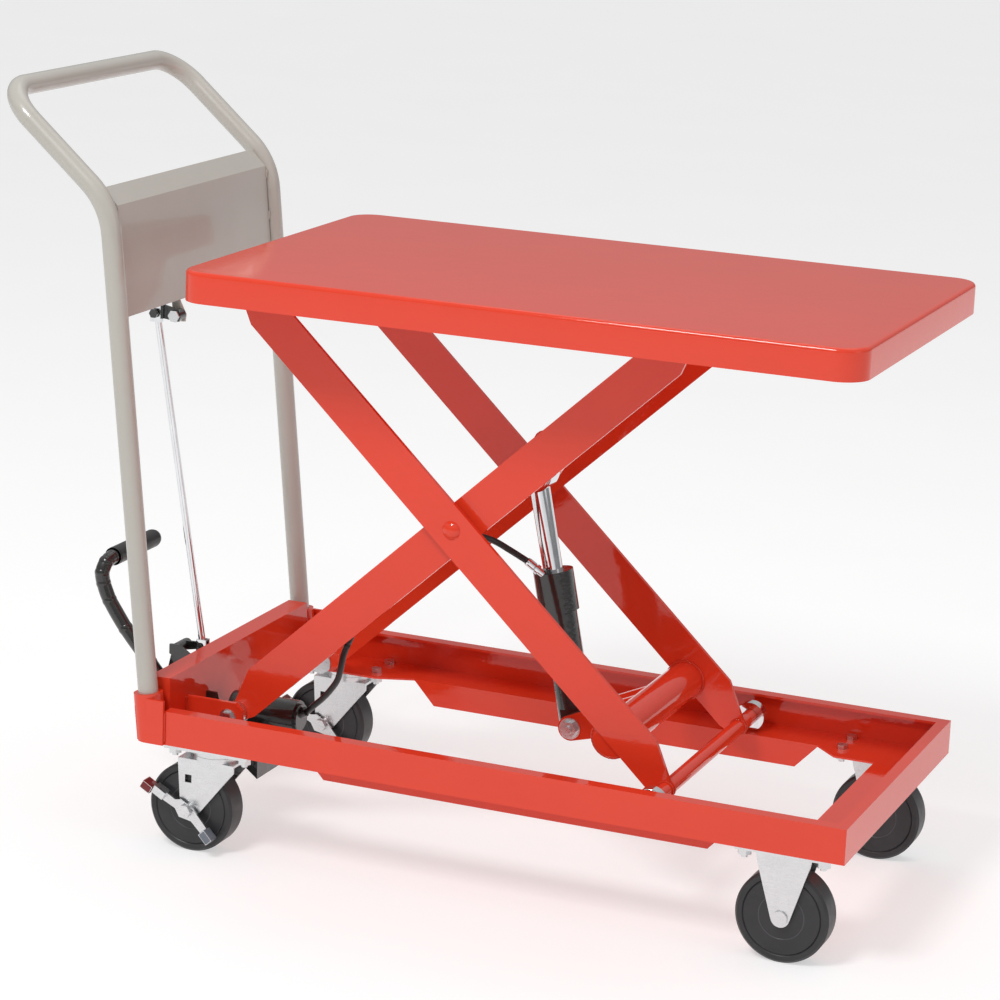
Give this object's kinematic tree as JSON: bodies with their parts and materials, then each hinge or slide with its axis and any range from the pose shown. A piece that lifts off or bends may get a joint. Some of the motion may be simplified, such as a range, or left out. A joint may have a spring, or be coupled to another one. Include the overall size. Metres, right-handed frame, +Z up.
{
  "type": "scissor lift table",
  "caption": "Hand-pushed hydraulic scissor lift table on casters, red frame and platform raised on crossed legs, grey push handle, foot pump pedal.",
  "frame": {"origin": "centre of the bounding box's underside, on the floor", "axes": "+X to the front, away from the push handle; +Y to the left looking forward, away from the foot pedal's arm; +Z up"},
  "size_m": [0.9892, 0.45, 0.8257],
  "materials": {
    "red_enamel": "gloss",
    "grey_enamel": "gloss",
    "black_enamel": "gloss",
    "zinc_plate": "satin",
    "chrome_steel": "polished",
    "wheel_polyurethane": "satin",
    "hose_rubber": "satin"
  },
  "bodies": {
    "base": {"rail_near": "red_enamel", "rail_far": "red_enamel", "front_crossmember": "red_enamel", "rear_crossmember": "red_enamel", "handle_sockets": "red_enamel", "pivot_brackets": "red_enamel", "pivot_pins": "zinc_plate", "handle_tube": "grey_enamel", "handle_panel": "grey_enamel", "valve_bracket": "black_enamel", "lever_bolt": "zinc_plate", "pump_block": "black_enamel", "pump_reservoir": "black_enamel", "front_forks": "zinc_plate", "swivel_plates": "zinc_plate", "caster_bolts": "zinc_plate", "pedal_spring": "zinc_plate", "hose_lower": "hose_rubber"},
    "plunger": {"pump_plunger": "chrome_steel"},
    "pedal": {"pedal_arm": "black_enamel", "pedal_sleeve": "hose_rubber"},
    "release_hand": {"release_lever": "black_enamel"},
    "release_pull": {"release_rod": "chrome_steel"},
    "valve_crank": {"valve_arm": "black_enamel"},
    "valve_wire": {"valve_link": "zinc_plate"},
    "caster_near": {"swivel_fork_near": "zinc_plate", "swivel_axle_near": "zinc_plate"},
    "caster_far": {"swivel_fork_far": "zinc_plate", "swivel_axle_far": "zinc_plate"},
    "brake_near": {"brake_lever_near": "zinc_plate"},
    "brake_far": {"brake_lever_far": "zinc_plate"},
    "rear_wheel_near": {"wheel_rear_near": "wheel_polyurethane"},
    "rear_wheel_far": {"wheel_rear_far": "wheel_polyurethane"},
    "front_wheel_near": {"wheel_front_near": "wheel_polyurethane"},
    "front_wheel_far": {"wheel_front_far": "wheel_polyurethane"},
    "inner_legs": {"inner_leg_near": "red_enamel", "inner_leg_far": "red_enamel", "inner_crossbar": "red_enamel", "ram_upper_pin": "zinc_plate", "top_axles": "red_enamel", "hose_leg": "hose_rubber"},
    "outer_legs": {"outer_leg_near": "red_enamel", "outer_leg_far": "red_enamel", "outer_crosstube": "red_enamel", "ram_lower_pin": "zinc_plate", "bottom_axle": "red_enamel", "centre_pivots": "red_enamel", "hose_upper": "hose_rubber"},
    "platform": {"deck": "red_enamel", "deck_guides": "red_enamel", "deck_lugs": "red_enamel", "deck_pins": "zinc_plate"},
    "bottom_roller_near": {"roller_bottom_near": "chrome_steel"},
    "bottom_roller_far": {"roller_bottom_far": "chrome_steel"},
    "top_roller_near": {"roller_top_near": "chrome_steel"},
    "top_roller_far": {"roller_top_far": "chrome_steel"},
    "ram_body": {"ram_barrel": "black_enamel"},
    "ram_stem": {"ram_rod": "chrome_steel"}
  },
  "joints": [
    {"name": "lift", "type": "hinge", "parent": "base", "child": "inner_legs", "pos_m": [-0.231, 0, 0.1404], "axis": [0, -1, 0], "range_deg": [-35.2, 0], "deforming": ["hose_lower"]},
    {"name": "scissor_cross", "type": "hinge", "parent": "inner_legs", "child": "outer_legs", "pos_m": [0.02204, 0, 0.38553], "axis": [0, -1, 0], "range_deg": [0, 71.2]},
    {"name": "platform_pivot", "type": "hinge", "parent": "outer_legs", "child": "platform", "pos_m": [-0.231, 0, 0.63065], "axis": [0, -1, 0], "range_deg": [-35.6, 0]},
    {"name": "ram_swing", "type": "hinge", "parent": "outer_legs", "child": "ram_body", "pos_m": [0.1285, 0, 0.155], "axis": [0, -1, 0], "range_deg": [-0.9, 0]},
    {"name": "ram_stroke", "type": "slide", "parent": "ram_body", "child": "ram_stem", "axis": [-0.2119, 0, 0.9773], "range_m": [-0.0766, 0], "deforming": ["hose_upper"]},
    {"name": "bottom_roller_near_spin", "type": "hinge", "parent": "outer_legs", "child": "bottom_roller_near", "pos_m": [0.27508, -0.165, 0.1404], "axis": [0, 1, 0], "continuous": true},
    {"name": "top_roller_near_spin", "type": "hinge", "parent": "inner_legs", "child": "top_roller_near", "pos_m": [0.27508, -0.14, 0.63065], "axis": [0, 1, 0], "continuous": true},
    {"name": "bottom_roller_far_spin", "type": "hinge", "parent": "outer_legs", "child": "bottom_roller_far", "pos_m": [0.27508, 0.165, 0.1404], "axis": [0, 1, 0], "continuous": true},
    {"name": "top_roller_far_spin", "type": "hinge", "parent": "inner_legs", "child": "top_roller_far", "pos_m": [0.27508, 0.14, 0.63065], "axis": [0, 1, 0], "continuous": true},
    {"name": "pedal_press", "type": "hinge", "parent": "base", "child": "pedal", "pos_m": [-0.284, 0, 0.098], "axis": [0, 1, 0], "range_deg": [-22, 0], "stiffness_Nm_per_rad": 4, "springref_deg": 28.65},
    {"name": "plunger_lift", "type": "slide", "parent": "base", "child": "plunger", "axis": [0, 0, 1], "range_m": [0, 0.0099]},
    {"name": "release_squeeze", "type": "hinge", "parent": "base", "child": "release_hand", "pos_m": [-0.339, 0, 0.566], "axis": [0, 1, 0], "range_deg": [-20, 0], "stiffness_Nm_per_rad": 1.2, "springref_deg": 28.65},
    {"name": "release_rod_travel", "type": "slide", "parent": "base", "child": "release_pull", "axis": [0.1106, 0.1028, -0.9885], "range_m": [0, 0.0071]},
    {"name": "valve_crank_turn", "type": "hinge", "parent": "base", "child": "valve_crank", "pos_m": [-0.34, 0, 0.1804], "axis": [0, 1, 0], "range_deg": [0, 17]},
    {"name": "valve_wire_travel", "type": "slide", "parent": "base", "child": "valve_wire", "axis": [0.9191, 0, -0.394], "range_m": [-0.0136, 0]},
    {"name": "caster_near_swivel", "type": "hinge", "parent": "base", "child": "caster_near", "pos_m": [-0.2235, -0.17, 0.11], "axis": [0, 0, 1], "continuous": true},
    {"name": "rear_wheel_near_spin", "type": "hinge", "parent": "caster_near", "child": "rear_wheel_near", "pos_m": [-0.2475, -0.17, 0.05], "axis": [0, 1, 0], "continuous": true},
    {"name": "brake_near_press", "type": "hinge", "parent": "caster_near", "child": "brake_near", "pos_m": [-0.2475, -0.1935, 0.05], "axis": [0, 1, 0], "range_deg": [-12, 0]},
    {"name": "front_wheel_near_spin", "type": "hinge", "parent": "base", "child": "front_wheel_near", "pos_m": [0.428, -0.17, 0.05], "axis": [0, 1, 0], "continuous": true},
    {"name": "caster_far_swivel", "type": "hinge", "parent": "base", "child": "caster_far", "pos_m": [-0.2235, 0.17, 0.11], "axis": [0, 0, 1], "continuous": true},
    {"name": "rear_wheel_far_spin", "type": "hinge", "parent": "caster_far", "child": "rear_wheel_far", "pos_m": [-0.2475, 0.17, 0.05], "axis": [0, 1, 0], "continuous": true},
    {"name": "brake_far_press", "type": "hinge", "parent": "caster_far", "child": "brake_far", "pos_m": [-0.2475, 0.1465, 0.05], "axis": [0, 1, 0], "range_deg": [-12, 0]},
    {"name": "front_wheel_far_spin", "type": "hinge", "parent": "base", "child": "front_wheel_far", "pos_m": [0.428, 0.17, 0.05], "axis": [0, 1, 0], "continuous": true}
  ],
  "couplings": [
    {"joint": "scissor_cross", "follows": "lift", "ratio": -2},
    {"joint": "platform_pivot", "follows": "lift", "ratio": 1},
    {"joint": "ram_swing", "follows": "lift", "ratio": 0.024},
    {"joint": "ram_stroke", "follows": "lift", "m_per_rad": 0.123},
    {"joint": "plunger_lift", "follows": "pedal_press", "m_per_rad": -0.0256},
    {"joint": "release_rod_travel", "follows": "release_squeeze", "m_per_rad": -0.0202},
    {"joint": "valve_crank_turn", "follows": "release_squeeze", "ratio": -0.84},
    {"joint": "valve_wire_travel", "follows": "release_squeeze", "m_per_rad": 0.0385}
  ]
}
